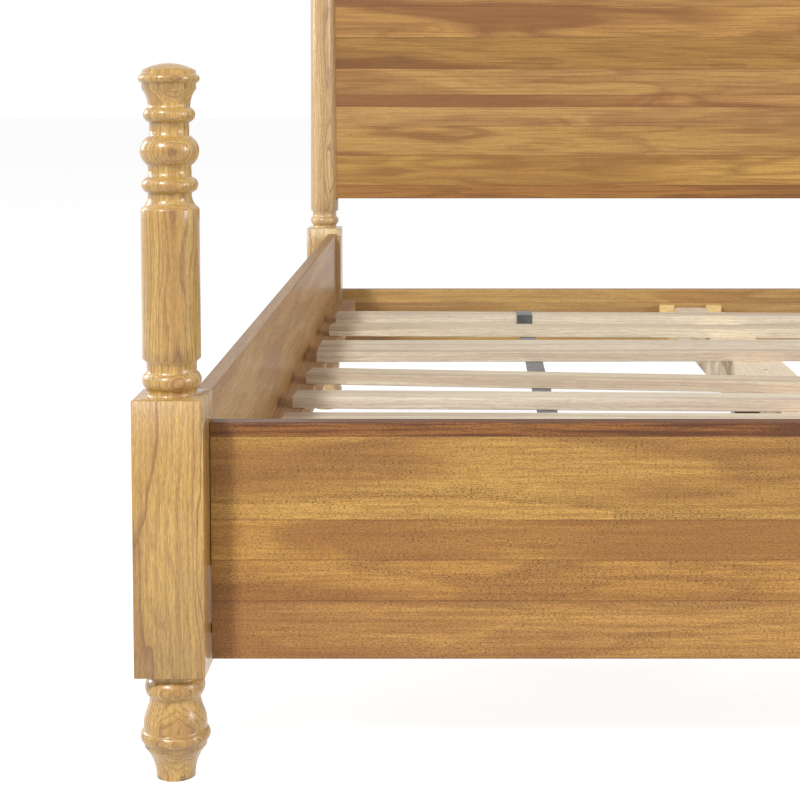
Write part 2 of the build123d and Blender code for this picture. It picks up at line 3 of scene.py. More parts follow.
import bmesh
import bpy
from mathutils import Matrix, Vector


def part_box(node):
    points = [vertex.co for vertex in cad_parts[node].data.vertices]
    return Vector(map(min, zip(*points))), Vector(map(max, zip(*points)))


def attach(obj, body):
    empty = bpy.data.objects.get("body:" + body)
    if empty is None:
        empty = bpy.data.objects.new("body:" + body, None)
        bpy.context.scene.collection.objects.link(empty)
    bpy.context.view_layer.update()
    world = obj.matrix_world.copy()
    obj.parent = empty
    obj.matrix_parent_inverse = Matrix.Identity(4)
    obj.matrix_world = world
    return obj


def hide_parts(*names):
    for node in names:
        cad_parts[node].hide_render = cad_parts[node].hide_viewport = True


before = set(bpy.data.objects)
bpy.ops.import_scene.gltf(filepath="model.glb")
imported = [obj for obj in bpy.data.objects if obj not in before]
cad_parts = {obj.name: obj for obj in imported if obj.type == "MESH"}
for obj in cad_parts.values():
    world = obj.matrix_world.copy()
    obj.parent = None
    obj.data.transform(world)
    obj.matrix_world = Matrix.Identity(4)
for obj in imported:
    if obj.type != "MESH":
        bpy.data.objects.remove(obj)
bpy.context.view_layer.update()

# Posts. Solid oak, left square in the middle and turned on a lathe at both ends, then sanded and
# given a satin lacquer. The year rings run through the whole post, so the lathe opens them as
# ovals and arches on the round parts.
FOOT_OAK_TONE = (201, 159, 87)
HEAD_OAK_TONE = (222, 189, 130)
OAK_RING = 0.0030
OAK_HEART = (-0.028, 0.075)
OAK_ROUGHNESS = 0.30
KNOT_TONE = (188, 128, 70)
GLUE_LINE = 0.0011
CREASE = math.radians(32)
WELD = 2e-6


class Thread:
    """A socket in a tree of nodes. Sums on it add the nodes that they need."""

    def __init__(self, tree, socket):
        self.tree = tree
        self.socket = socket

    def add(self, kind, values=None, settings=None, out=0):
        """A node of a type, with its settings made first and then its sockets' values or links."""
        node = self.tree.nodes.new(kind)
        for name, setting in (settings or {}).items():
            setattr(node, name, setting)
        for name, value in (values or {}).items():
            if isinstance(value, Thread):
                self.tree.links.new(value.socket, node.inputs[name])
            else:
                node.inputs[name].default_value = value
        return Thread(self.tree, node.outputs[out])

    def sum_of(self, operation, *terms):
        return self.add("ShaderNodeMath", dict(enumerate(terms)), {"operation": operation})

    def __add__(self, other):
        return self.sum_of("ADD", self, other)

    def __radd__(self, other):
        return self.sum_of("ADD", other, self)

    def __sub__(self, other):
        return self.sum_of("SUBTRACT", self, other)

    def __rsub__(self, other):
        return self.sum_of("SUBTRACT", other, self)

    def __mul__(self, other):
        return self.sum_of("MULTIPLY", self, other)

    def __rmul__(self, other):
        return self.sum_of("MULTIPLY", other, self)

    def __truediv__(self, other):
        return self.sum_of("DIVIDE", self, other)

    def between(self, low, high):
        """0 below low and 1 above high, with a soft step from one to the other."""
        values = {"Value": self, "From Min": low, "From Max": high}
        return self.add("ShaderNodeMapRange", values, {"interpolation_type": "SMOOTHSTEP"})

    def tint(self, under, over):
        """The colour under, tinted by the colour over as far as this mask says."""
        settings = {"data_type": "RGBA", "blend_type": "MIX"}
        return self.add("ShaderNodeMix", {0: self, 6: under, 7: over}, settings, out=2)

    def point(self, x, y, z):
        """A point from its three coordinates."""
        return self.add("ShaderNodeCombineXYZ", {0: x, 1: y, 2: z})

    def cloud(self, place, detail=2.0):
        """Soft noise at a place, about one feature to each unit."""
        return self.add("ShaderNodeTexNoise", {"Vector": place, "Scale": 1.0, "Detail": detail})


def screen(*levels):
    """A colour from its levels on a screen, 0 to 255."""
    linear = [((level / 255 + 0.055) / 1.055) ** 2.4 for level in levels]
    return (*linear, 1.0)


def shade(tone, factor, warmth=0.25):
    """A tone made darker and warmer, or lighter and paler."""
    powers = (1.0, 1.0 + 1.6 * warmth, 1.0 + 1.8 * warmth)
    return screen(*[min(255, level * factor ** power) for level, power in zip(tone, powers)])


def new_finish(name):
    """A new material, its shader node and a thread of its Object coordinates."""
    material = bpy.data.materials.new(name)
    material.use_nodes = True
    tree = material.node_tree
    coordinates = tree.nodes.new("ShaderNodeTexCoord")
    return material, tree.nodes["Principled BSDF"], Thread(tree, coordinates.outputs["Object"])


def connect(shader, socket, thread):
    thread.tree.links.new(thread.socket, shader.inputs[socket])


def timber(name, tone, along, heart, seed, ring=0.005, lean=0.0, wander=0.012, drift=1.6, rings=0.5,
           bands=0.5, flow=85.0, streaks=0.3, fibres=0.34, pores=0.4, pore_size=(0.008, 0.0009), ripple=0.0,
           knots=0.0, seams=None, turn=0.0, origin=(0, 0), roughness=0.42, coat=0.2, gloss=0.5):
    """Solid wood, with its year rings round a heart line beside the piece.

    along is the axis of the grain. heart is where the heart line lies, over the two other axes,
    and lean how far it strays from the grain. seams are the heights of the board's glue lines.
    """
    material, shader, place = new_finish(name)
    if turn:
        place = place.add("ShaderNodeVectorRotate", {"Vector": place, "Angle": -turn})
    split = place.add("ShaderNodeSeparateXYZ", {0: place}).socket.node
    x, y, z = [Thread(place.tree, output) for output in split.outputs]
    length, across, depth = {"X": (x, y, z), "Y": (y, x, z), "Z": (z, x, y)}[along]
    across = across - origin[0]
    depth = depth - origin[1]

    def grain(stretch, fine, shift=0.0, detail=2.0):
        """Noise drawn out along the grain."""
        at = place.point(length * stretch + seed + shift, across * fine, depth * fine)
        return place.cloud(at, detail)

    sway = grain(drift, 11.0)
    bend = grain(5.0, 30.0, 3.1)
    off_across = across - heart[0] + (sway - 0.5) * wander * 2 + length * lean
    off_depth = depth - heart[1] + (bend - 0.5) * wander
    reach = place.sum_of("SQRT", off_across * off_across + off_depth * off_depth)
    year = reach / ring + grain(9.0, 90.0, 5.7) * 0.7
    late = year.sum_of("FRACT", year)
    line = late.between(0.50, 0.92) * (1.0 - late.between(0.93, 1.0))
    strong = year.add(
        "ShaderNodeTexWhiteNoise", {"W": year.sum_of("FLOOR", year)}, {"noise_dimensions": "1D"}
    )
    line = line * (0.25 + strong * 0.75)

    course = place.cloud(place.point(reach * flow, length * 0.6 + seed, seed), 3.0)
    band = (grain(0.9, 22.0, 8.2, 3.0) * 0.4 + course * 0.6).between(0.42, 0.60)
    streak = grain(6.0, 240.0, 1.3, 4.0).between(0.42, 0.66)
    fibre = grain(45.0, 900.0, 4.4).between(0.40, 0.68)
    pore = grain(1 / pore_size[0], 1 / pore_size[1], 2.4, 1.0).between(0.50, 0.60)
    colour = band.tint(shade(tone, 1.04 + 0.10 * bands), shade(tone, 1.04 - 0.26 * bands))
    colour = (streak * streaks).tint(colour, shade(tone, 0.74))
    colour = (line * rings).tint(colour, shade(tone, 0.66))
    colour = (fibre * fibres).tint(colour, shade(tone, 0.78))
    colour = (pore * (0.8 + line * 0.5) * pores).tint(colour, shade(tone, 0.48))
    height = fibre * 0.25 - pore * pores - line * 0.3 * rings
    if ripple:
        wave = place.cloud(place.point(length * 700.0 + seed, across * 90.0, depth * 90.0))
        patch = grain(3.0, 24.0, 6.6).between(0.50, 0.66)
        colour = (wave.between(0.46, 0.66) * patch * ripple).tint(colour, shade(tone, 1.16))
    if knots:
        at = place.point(length * 4.2 + seed, across * 4.2, depth * 4.2)
        cell = place.add("ShaderNodeTexVoronoi", {"Vector": at, "Scale": 1.0})
        cell_colour = Thread(place.tree, cell.socket.node.outputs["Color"])
        chosen = place.add("ShaderNodeSeparateColor", {0: cell_colour})
        eye = (1.0 - cell.between(0.012, 0.034)) * chosen.between(0.60, 0.62) * knots
        colour = eye.tint(colour, screen(*KNOT_TONE))
    if seams:
        low, high = seams
        near = place.sum_of("MINIMUM", z - low, high - z)
        joint = 1.0 - near.between(0.0, GLUE_LINE)
        colour = (joint * 0.5).tint(colour, shade(tone, 0.45))
    connect(shader, "Base Color", colour)
    connect(shader, "Roughness", roughness + fibre * 0.10 - line * 0.05)
    bump = place.add("ShaderNodeBump", {"Strength": 0.55, "Distance": 0.0005, "Height": height})
    connect(shader, "Normal", bump)
    shader.inputs["Coat Weight"].default_value = coat
    shader.inputs["Coat Roughness"].default_value = 0.22
    shader.inputs["Specular IOR Level"].default_value = gloss
    return material


def dress(node, material):
    """Gives a CAD node its finish."""
    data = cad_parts[node].data
    data.materials.clear()
    data.materials.append(material)


def rounded_copy(name, node, material):
    """A welded copy of a turned node, which shades smoothly over its curves."""
    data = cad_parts[node].data.copy()
    mesh = bmesh.new()
    mesh.from_mesh(data)
    bmesh.ops.remove_doubles(mesh, verts=mesh.verts, dist=WELD)
    mesh.to_mesh(data)
    mesh.free()
    data.materials.clear()
    data.materials.append(material)
    data.shade_smooth()
    data.set_sharp_from_angle(angle=CREASE)
    piece = bpy.data.objects.new(name, data)
    bpy.context.scene.collection.objects.link(piece)
    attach(piece, "root")
    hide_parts(node)


for number, node in enumerate(("foot_post_left", "foot_post_right", "head_post_left", "head_post_right")):
    low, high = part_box(node)
    middle = (low + high) / 2
    tone = FOOT_OAK_TONE if node.startswith("foot") else HEAD_OAK_TONE
    oak = timber(
        f"oak_{node}", tone, "Z", OAK_HEART, 4.0 + 11.0 * number, ring=OAK_RING, lean=0.004,
        wander=0.016, drift=5.0, rings=0.75, bands=0.35, streaks=0.35, fibres=0.48, pores=0.32,
        pore_size=(0.007, 0.0008), origin=(middle.x, middle.y), roughness=OAK_ROUGHNESS, coat=0.5,
    )
    rounded_copy(f"turned_{node}", node, oak)

# Footboard. Boards of a golden tropical hardwood, glued edge to edge with their own tone each, and
# a dark one along the top. The lacquer is a little shiny over short, rippled flecks.
DARK_LEVEL = 150
FOOTBOARD_TONES = ((188, 137, 72), (190, 138, 68), (194, 143, 70), (191, 143, 72), (129, 77, 34))


def boards(nodes, tones, seed, bands, along="X", streaks=0.3, fibres=0.3, pores=0.42, ripple=0.2):
    """Finishes a row of glued boards, each with its own tone and its own run of the rings."""
    for number, (node, tone) in enumerate(zip(nodes, tones)):
        low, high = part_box(node)
        side = -1 if number % 2 else 1
        heart = (0.05 * side, (low.z + high.z) / 2 - 0.10 * side)
        dark = tone[0] < DARK_LEVEL
        dress(node, timber(
            f"wood_{node}", tone, along, heart, 3.7 * number + seed, ring=0.0085, lean=0.014 * side,
            wander=0.034, rings=0.5 if dark else 0.25, bands=2.0 if dark else bands,
            flow=260.0 if dark else 85.0, streaks=1.0 if dark else streaks, fibres=fibres, pores=pores,
            pore_size=(0.0030, 0.0009), ripple=ripple, seams=(low.z, high.z), roughness=0.42, coat=0.12,
            gloss=0.35,
        ))


boards(
    [f"footboard_board_{n}" for n in range(1, 6)], FOOTBOARD_TONES, seed=2.0, bands=0.65, streaks=0.45,
    fibres=0.45, pores=0.6, ripple=0.10,
)

# Headboard. The same hardwood in more and narrower boards, more mixed in tone, with its ends held
# in the posts' grooves.
HEADBOARD_TONES = (
    (158, 107, 56), (194, 147, 78), (181, 135, 76), (184, 138, 82), (182, 132, 77), (180, 134, 77),
    (160, 115, 58), (181, 132, 72), (168, 120, 67), (184, 140, 80), (173, 127, 72),
)

boards(
    [f"headboard_board_{n:02d}" for n in range(1, 12)], HEADBOARD_TONES, seed=40.0, bands=0.8, streaks=0.45,
    fibres=0.2, pores=0.2, ripple=0.08,
)

# Head rail. Two boards of the same hardwood under the headboard, level with the slats. They are
# glued edge to edge and doweled to the head posts.
HEAD_RAIL_TONES = ((186, 147, 90), (190, 149, 91))

boards(
    [f"head_rail_board_{n}" for n in (1, 2)], HEAD_RAIL_TONES, seed=90.0, bands=0.6, pores=0.25,
    ripple=0.12,
)

# Side rails. Three boards of the same hardwood each, glued edge to edge and a little greyer than the
# footboard. Steel plates in their ends hook into the posts' blocks.
SIDE_RAIL_TONES = ((187, 145, 88), (193, 149, 92), (193, 151, 96))

for side, seed in (("left", 120.0), ("right", 150.0)):
    rail_nodes = [f"side_rail_{side}_board_{n}" for n in (1, 2, 3)]
    boards(rail_nodes, SIDE_RAIL_TONES, seed=seed, bands=0.4, along="Y", pores=0.3, ripple=0.12)

# Battens. Planed softwood without a finish: the ledgers and cleats inside the rails, and the centre
# beam with the wider board on it that the slats rest on.
LEDGER_TONE = (198, 160, 118)
BEAM_TONE = (236, 219, 194)

for node, tone, seed, marked in (
    ("ledger_left", LEDGER_TONE, 1.0, 0.4),
    ("ledger_right", LEDGER_TONE, 7.0, 0.4),
    ("rail_cleats", LEDGER_TONE, 12.0, 0.4),
    ("beam_bearer", BEAM_TONE, 23.0, 0.15),
    ("beam_cap", BEAM_TONE, 31.0, 0.15),
):
    grain_axis = "Z" if node == "rail_cleats" else "Y"
    dress(node, timber(
        f"softwood_{node}", tone, grain_axis, (0.06, 0.11), seed, ring=0.006, lean=0.006, wander=0.018,
        rings=marked, bands=0.6 * marked, streaks=0.6 * marked, fibres=0.2, pores=0.08, knots=0.7,
        roughness=0.62, coat=0.0, gloss=0.3,
    ))

# Pocket blocks. Short pale offcuts of softwood, planed and without a finish. They are screwed round
# the beam's ends, which rest in them.
POCKET_TONE = (234, 202, 138)

for node, seed in (("beam_seat_blocks", 3.0), ("beam_cheek_blocks", 9.0)):
    dress(node, timber(
        f"softwood_{node}", POCKET_TONE, "X", (0.06, 0.16), seed, ring=0.004, wander=0.01,
        rings=0.4, bands=0.3, pores=0.1, roughness=0.6, coat=0.0,
    ))

# Slats. Thin pale softwood boards, planed and with eased edges, which lie loose and a little askew.
# Each one's grain follows its own turn.
SLAT_TONES = ((226, 210, 186), (229, 214, 192), (222, 205, 179))
SLAT_ENDS_FROM = 0.7


def turn_of(node):
    """How far a slat is turned, from the middles of its two ends."""
    left, right = [], []
    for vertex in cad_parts[node].data.vertices:
        if vertex.co.x < -SLAT_ENDS_FROM:
            left.append(vertex.co)
        elif vertex.co.x > SLAT_ENDS_FROM:
            right.append(vertex.co)
    span = sum(right, Vector()) / len(right) - sum(left, Vector()) / len(left)
    return math.atan2(span.y, span.x)


slat_nodes = [f"slat_{n:02d}" for n in range(1, 11)]
for number, node in enumerate(slat_nodes):
    low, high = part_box(node)
    turn = turn_of(node)
    middle_y = (low.y + high.y) / 2
    dress(node, timber(
        f"softwood_{node}", SLAT_TONES[number % 3], "X", (middle_y + 0.03, 0.17), 5.3 * number, ring=0.0045,
        lean=0.004, wander=0.016, rings=0.34, bands=0.30, streaks=0.18, pores=0.1, knots=0.8, turn=turn,
        roughness=0.60, coat=0.0, gloss=0.3,
    ))

# Centre leg and its glide. A square wooden leg bolted beside the bearer, on a moulded nylon glide.
# Its brown wood tone is painted darker as painted shade, for the shade that it stands in under the bed.
LEG_SHADE_DARKENED_TONE = (106, 80, 60)
NYLON_DARK = (34, 33, 32)
NYLON_PALE = (46, 45, 43)
NYLON_GRAIN = 900.0

# Painted shade: the leg's brown wood tone is darkened for the shade under the bed.
dress("centre_leg", timber(
    "stained_leg", LEG_SHADE_DARKENED_TONE, "Z", (0.03, 0.06), 17.0, ring=0.004, wander=0.01, rings=0.5,
    bands=0.4, pores=0.5, roughness=0.45, coat=0.1,
))

nylon, shader, place = new_finish("nylon")
speckle = place.cloud(place.add("ShaderNodeVectorMath", {0: place, 3: NYLON_GRAIN}, {"operation": "SCALE"}))
connect(shader, "Base Color", speckle.tint(screen(*NYLON_DARK), screen(*NYLON_PALE)))
connect(shader, "Roughness", 0.45 + speckle * 0.15)
nylon_bump = {"Strength": 0.3, "Distance": 0.0002, "Height": speckle}
connect(shader, "Normal", place.add("ShaderNodeBump", nylon_bump))
rounded_copy("moulded_leg_glide", "leg_glide", nylon)

# Dowels. Turned beech pins, out of sight. They are glued into the posts and into the ends of the
# footboard and the head rail.
BEECH_TONE = (196, 158, 116)

dress("dowels", timber(
    "beech", BEECH_TONE, "X", (0.01, 0.02), 29.0, ring=0.002, wander=0.004, rings=0.3,
    bands=0.2, pores=0.5, roughness=0.6, coat=0.0,
))

# Steel fittings. Zinc-plated hook and slot plates in the rails' ends and the posts, and the leg's
# carriage bolts with their washers and nuts.
ZINC_TONE = (188, 190, 192)
CRYSTAL_GRAIN = 260.0
RUBBED_GRAIN = 60.0


def plated(name, tone, roughness, spangle):
    """A plated metal, with crystals in the zinc and a few rubbed places."""
    material, shader, place = new_finish(name)
    fine = place.add("ShaderNodeVectorMath", {0: place, 3: CRYSTAL_GRAIN}, {"operation": "SCALE"})
    crystal = place.add("ShaderNodeTexVoronoi", {"Vector": fine, "Scale": 1.0}, out=1)
    flake = place.add("ShaderNodeSeparateColor", {0: crystal})
    coarse = place.add("ShaderNodeVectorMath", {0: place, 3: RUBBED_GRAIN}, {"operation": "SCALE"})
    rubbed = place.cloud(coarse, 4.0)
    colour = (flake * spangle).tint(shade(tone, 1.0, 0.0), shade(tone, 0.80, 0.0))
    colour = (rubbed.between(0.55, 0.75) * 0.5).tint(colour, shade(tone, 0.66, 0.0))
    connect(shader, "Base Color", colour)
    connect(shader, "Roughness", roughness + rubbed * 0.18 + flake * 0.05)
    bump = place.add("ShaderNodeBump", {"Strength": 0.25, "Distance": 0.0001, "Height": rubbed})
    connect(shader, "Normal", bump)
    shader.inputs["Metallic"].default_value = 1.0
    return material


zinc = plated("zinc", ZINC_TONE, 0.30, 0.5)
for node in ("rail_hook_plates", "post_slot_plates"):
    dress(node, zinc)
rounded_copy("plated_leg_bolts", "leg_bolts", zinc)
rounded_copy("plated_leg_nuts_and_washers", "leg_nuts_and_washers", zinc)

# Wood screws. Countersunk, yellow-plated steel with a cross recess, each turned as it happened to
# stop. The shank tapers to a gimlet point. They hold the battens, blocks and plates to the boards.
SCREW_GROUPS = ("ledger_screws", "short_screws", "pocket_screws", "cap_screws")
HEAD_RADIUS = 0.0042
HEAD_HEIGHT = 0.0030
SHANK_RADIUS = 0.0020
RECESS_LENGTH = 0.0046
RECESS_WIDTH = 0.0010
RECESS_DEPTH = 0.0018
HEAD_SIDES = 28
SHANK_SIDES = 16
SHANK_FIT = 0.98
POINT_IN_RADII = 3.0
TURN_SEED = 5
YELLOW_ZINC_TONE = (206, 160, 78)
yellow = plated("yellow_zinc", YELLOW_ZINC_TONE, 0.28, 0.3)


def solids_of(node):
    """The corners of each separate solid in a node. Solids that touch count as one."""
    mesh = bmesh.new()
    mesh.from_mesh(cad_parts[node].data)
    bmesh.ops.remove_doubles(mesh, verts=mesh.verts, dist=WELD)
    left = set(mesh.verts)
    found = []
    while left:
        waiting = [left.pop()]
        solid = []
        while waiting:
            vertex = waiting.pop()
            solid.append(vertex.co.copy())
            for edge in vertex.link_edges:
                other = edge.other_vert(vertex)
                if other in left:
                    left.remove(other)
                    waiting.append(other)
        found.append(solid)
    mesh.free()
    return sorted(found, key=lambda solid: tuple(min(solid, key=tuple)))


def head_of(solid):
    """A screw's head centre, the way that its head looks and its length."""
    low = Vector([min(corner[axis] for corner in solid) for axis in range(3)])
    high = Vector([max(corner[axis] for corner in solid) for axis in range(3)])
    size = high - low
    axis = max(range(3), key=lambda i: size[i])
    middle = (low + high) / 2
    widest = max(solid, key=lambda corner: (corner - middle).length)
    way = 1 if widest[axis] > middle[axis] else -1
    facing = Vector((0, 0, 0))
    facing[axis] = way
    return middle + facing * size[axis] / 2, facing, size[axis]


def points_object(name, places):
    """Loose points with the way that each looks, for a tree of nodes to build on."""
    data = bpy.data.meshes.new(name)
    data.from_pydata([tuple(point) for point, _ in places], [], [])
    looks = data.attributes.new("looks", "FLOAT_VECTOR", "POINT")
    for index, (_, facing) in enumerate(places):
        looks.data[index].vector = facing
    made = bpy.data.objects.new(name, data)
    bpy.context.scene.collection.objects.link(made)
    return made


def set_on_points(name, build, sizes):
    """A tree of geometry nodes that sets what build makes on each point, facing as it looks."""
    tree = bpy.data.node_groups.new(name, "GeometryNodeTree")
    tree.interface.new_socket("Geometry", in_out="INPUT", socket_type="NodeSocketGeometry")
    for size in sizes:
        tree.interface.new_socket(size, in_out="INPUT", socket_type="NodeSocketFloat")
    tree.interface.new_socket("Geometry", in_out="OUTPUT", socket_type="NodeSocketGeometry")
    inputs = {output.name: Thread(tree, output) for output in tree.nodes.new("NodeGroupInput").outputs}
    points = inputs["Geometry"]
    finish, piece = build(inputs)
    looks = points.add("GeometryNodeInputNamedAttribute", {"Name": "looks"}, {"data_type": "FLOAT_VECTOR"})
    upright = points.add("FunctionNodeAlignRotationToVector", {"Vector": looks}, {"axis": "Z"})
    any_turn = {2: 0.0, 3: math.tau, "Seed": TURN_SEED}
    spin = points.add("FunctionNodeRandomValue", any_turn, {"data_type": "FLOAT"}, out=1)
    about = points.add("FunctionNodeAxisAngleToRotation", {"Axis": (0, 0, 1), "Angle": spin})
    rotation = points.add(
        "FunctionNodeRotateRotation", {"Rotation": upright, "Rotate By": about}, {"rotation_space": "LOCAL"}
    )
    placed = points.add(
        "GeometryNodeInstanceOnPoints", {"Points": points, "Instance": piece, "Rotation": rotation}
    )
    real = points.add("GeometryNodeRealizeInstances", {"Geometry": placed})
    finished = points.add("GeometryNodeSetMaterial", {"Geometry": real, "Material": finish})
    end = tree.nodes.new("NodeGroupOutput")
    tree.links.new(finished.socket, end.inputs["Geometry"])
    return tree


def grow(made, tree, sizes):
    """Runs a tree of geometry nodes on an object and keeps the result as its plain mesh."""
    modifier = made.modifiers.new("grow", "NODES")
    modifier.node_group = tree
    for item in tree.interface.items_tree:
        if item.in_out == "INPUT" and item.name in sizes:
            modifier[item.identifier] = sizes[item.name]
    seen = made.evaluated_get(bpy.context.evaluated_depsgraph_get())
    data = bpy.data.meshes.new_from_object(seen)
    made.modifiers.clear()
    made.data = data
    data.shade_smooth()
    data.set_sharp_from_angle(angle=CREASE)


def moved(thread, geometry, offset):
    """Geometry moved by an offset, given as a point or a thread."""
    return thread.add("GeometryNodeTransform", {"Geometry": geometry, "Translation": offset})


def screw_shape(inputs):
    """A countersunk screw under the origin: a recessed head on a tapered shank."""
    start = inputs["Geometry"]
    head_radius, head_height = inputs["Head Radius"], inputs["Head Height"]
    shank_radius, length = inputs["Shank Radius"], inputs["Length"]
    head = start.add("GeometryNodeMeshCone", {
        "Vertices": HEAD_SIDES, "Radius Top": head_radius, "Radius Bottom": shank_radius,
        "Depth": head_height,
    })
    head = moved(start, head, start.point(0.0, 0.0, 0.0 - head_height))
    wing = start.point(inputs["Recess Length"], inputs["Recess Width"], inputs["Recess Depth"] * 2.0)
    other = start.point(inputs["Recess Width"], inputs["Recess Length"], inputs["Recess Depth"] * 2.0)
    cross = [start.add("GeometryNodeMeshCube", {"Size": size}) for size in (wing, other)]
    cut = start.tree.nodes.new("GeometryNodeMeshBoolean")
    cut.operation = "DIFFERENCE"
    start.tree.links.new(head.socket, cut.inputs[0])
    for bar in cross:
        start.tree.links.new(bar.socket, cut.inputs[1])
    point_length = shank_radius * POINT_IN_RADII
    shank_length = length - head_height - point_length
    shank = start.add("GeometryNodeMeshCylinder", {
        "Vertices": SHANK_SIDES, "Radius": shank_radius * SHANK_FIT, "Depth": shank_length,
    })
    shank = moved(start, shank, start.point(0.0, 0.0, 0.0 - head_height - shank_length / 2.0))
    tip = start.add("GeometryNodeMeshCone", {
        "Vertices": SHANK_SIDES, "Radius Top": shank_radius * SHANK_FIT,
        "Radius Bottom": shank_radius * 0.1, "Depth": point_length,
    })
    tip = moved(start, tip, start.point(0.0, 0.0, 0.0 - length))
    join = start.tree.nodes.new("GeometryNodeJoinGeometry")
    for piece in (tip, shank, Thread(start.tree, cut.outputs[0])):
        start.tree.links.new(piece.socket, join.inputs[0])
    return yellow, Thread(start.tree, join.outputs[0])


screw_sizes = {
    "Head Radius": HEAD_RADIUS,
    "Head Height": HEAD_HEIGHT,
    "Shank Radius": SHANK_RADIUS,
    "Recess Length": RECESS_LENGTH,
    "Recess Width": RECESS_WIDTH,
    "Recess Depth": RECESS_DEPTH,
}
screw_tree = set_on_points("screws", screw_shape, [*screw_sizes, "Length"])
for node in SCREW_GROUPS:
    heads = [head_of(solid) for solid in solids_of(node)]
    group = points_object(f"crosshead_{node}", [(point, facing) for point, facing, _ in heads])
    grow(group, screw_tree, {**screw_sizes, "Length": heads[0][2]})
    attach(group, "root")
    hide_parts(node)

# Straps. Flat webbing woven from dark grey yarn, tacked under each slat so that the slats roll up
# together. It hangs a little between them, and at the head end it folds up over the last slat.
STRAP_THICKNESS = 0.0014
STRAP_SAG = 0.0030
SAG_TO_GAP = 0.06
SAGGING_GAP = 0.01
SAG_PLACES = (0.15, 0.3, 0.5, 0.7, 0.85)
HALF_SLAT = 0.030
FOOT_END_DROP = 0.001
FOLD_STAND_OFF = 0.0016
TAIL_REACH = 0.0105
STRAP_BEND = 0.0016
BEND_STEPS = 6
SELVEDGE = 0.0016
STRAP_CREASE = math.radians(50)
STRAP_TONE = (96, 94, 94)
YARN_ACROSS = 0.0016
YARN_ALONG = 0.0022

webbing, shader, _ = new_finish("webbing")
cloth_map = Thread(webbing.node_tree, webbing.node_tree.nodes.new("ShaderNodeUVMap").outputs[0])
split = cloth_map.add("ShaderNodeSeparateXYZ", {0: cloth_map}).socket.node
over, down = [Thread(webbing.node_tree, output) for output in split.outputs[:2]]
warp = over / YARN_ACROSS
pick = down / YARN_ALONG
ridge = warp.sum_of("ABSOLUTE", warp.sum_of("SINE", warp * math.pi))
shifted = pick + warp.sum_of("FLOOR", warp) * 0.5
crossing = shifted.sum_of("FRACT", shifted) - 0.5
weave = ridge * (1.0 - crossing.sum_of("ABSOLUTE", crossing) * 1.6)
lint = cloth_map.cloud(cloth_map.point(over * 900.0, down * 700.0, 0.0), 3.0)
wear = cloth_map.cloud(cloth_map.point(over * 60.0, down * 14.0, 4.0), 2.0)
# Painted shade and light: the hollows between and under the yarns are painted darker and the yarns' crowns
# lighter, over the relief that the bump also draws.
colour = weave.between(0.05, 0.8).tint(shade(STRAP_TONE, 0.62, 0.0), shade(STRAP_TONE, 1.15, 0.0))
colour = (wear.between(0.4, 0.7) * 0.35).tint(colour, shade(STRAP_TONE, 1.3, 0.0))
colour = (lint.between(0.6, 0.8) * 0.4).tint(colour, shade(STRAP_TONE, 1.6, 0.0))
connect(shader, "Base Color", colour)
connect(shader, "Roughness", 0.72 + lint * 0.2)
connect(shader, "Normal", cloth_map.add(
    "ShaderNodeBump", {"Strength": 0.8, "Distance": 0.0006, "Height": weave + lint * 0.15}
))
shader.inputs["Sheen Weight"].default_value = 0.35
shader.inputs["Sheen Roughness"].default_value = 0.5


def strap_route(node, tack_places):
    """The strap's middle line as points in its upright plane, from its foot end to its tail."""
    low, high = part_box(node)
    slat_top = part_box(slat_nodes[-1])[1].z
    under = low.z + STRAP_THICKNESS / 2
    over_top = high.z - STRAP_THICKNESS / 2
    back = high.y - STRAP_THICKNESS / 2
    route = [Vector((low.y, under - FOOT_END_DROP))]
    for place, following in zip(tack_places, tack_places[1:]):
        for along_slat in (place - HALF_SLAT, place, place + HALF_SLAT):
            route.append(Vector((along_slat, under)))
        gap = following - place - 2 * HALF_SLAT
        if gap > SAGGING_GAP:
            sag = min(STRAP_SAG, gap * SAG_TO_GAP)
            for share in SAG_PLACES:
                drop = 4 * sag * share * (1 - share)
                route.append(Vector((place + HALF_SLAT + gap * share, under - drop)))
    front = tack_places[-1] - HALF_SLAT - FOLD_STAND_OFF
    route += bent((front, under), (-1, 0), (0, 1))
    route += bent((front, over_top), (0, -1), (1, 0))
    route += bent((back, over_top), (-1, 0), (0, -1))
    route.append(Vector((back, slat_top - TAIL_REACH)))
    return route


def bent(corner, before, after):
    """Points round a corner, from the side that the route comes from to the side that it leaves by."""
    corner, before, after = Vector(corner), Vector(before), Vector(after)
    centre = corner + (before + after) * STRAP_BEND
    points = []
    for step in range(BEND_STEPS + 1):
        turn = math.pi / 2 * step / BEND_STEPS
        points.append(centre - after * STRAP_BEND * math.cos(turn) - before * STRAP_BEND * math.sin(turn))
    return points


def strap_section(half_width, thickness):
    """The webbing's section: flat, with a fuller woven edge at each side."""
    edge = half_width - SELVEDGE
    half, full = thickness / 2 * 0.86, thickness / 2
    upper = [(-edge, half), (-edge / 3, half * 0.96), (edge / 3, half * 0.96), (edge, half)]
    right = [(half_width - SELVEDGE / 2, full), (half_width, full * 0.4), (half_width, -full * 0.4),
             (half_width - SELVEDGE / 2, -full)]
    lower = [(x, -z) for x, z in reversed(upper)]
    left = [(-x, -z) for x, z in right]
    return upper + right + lower + left


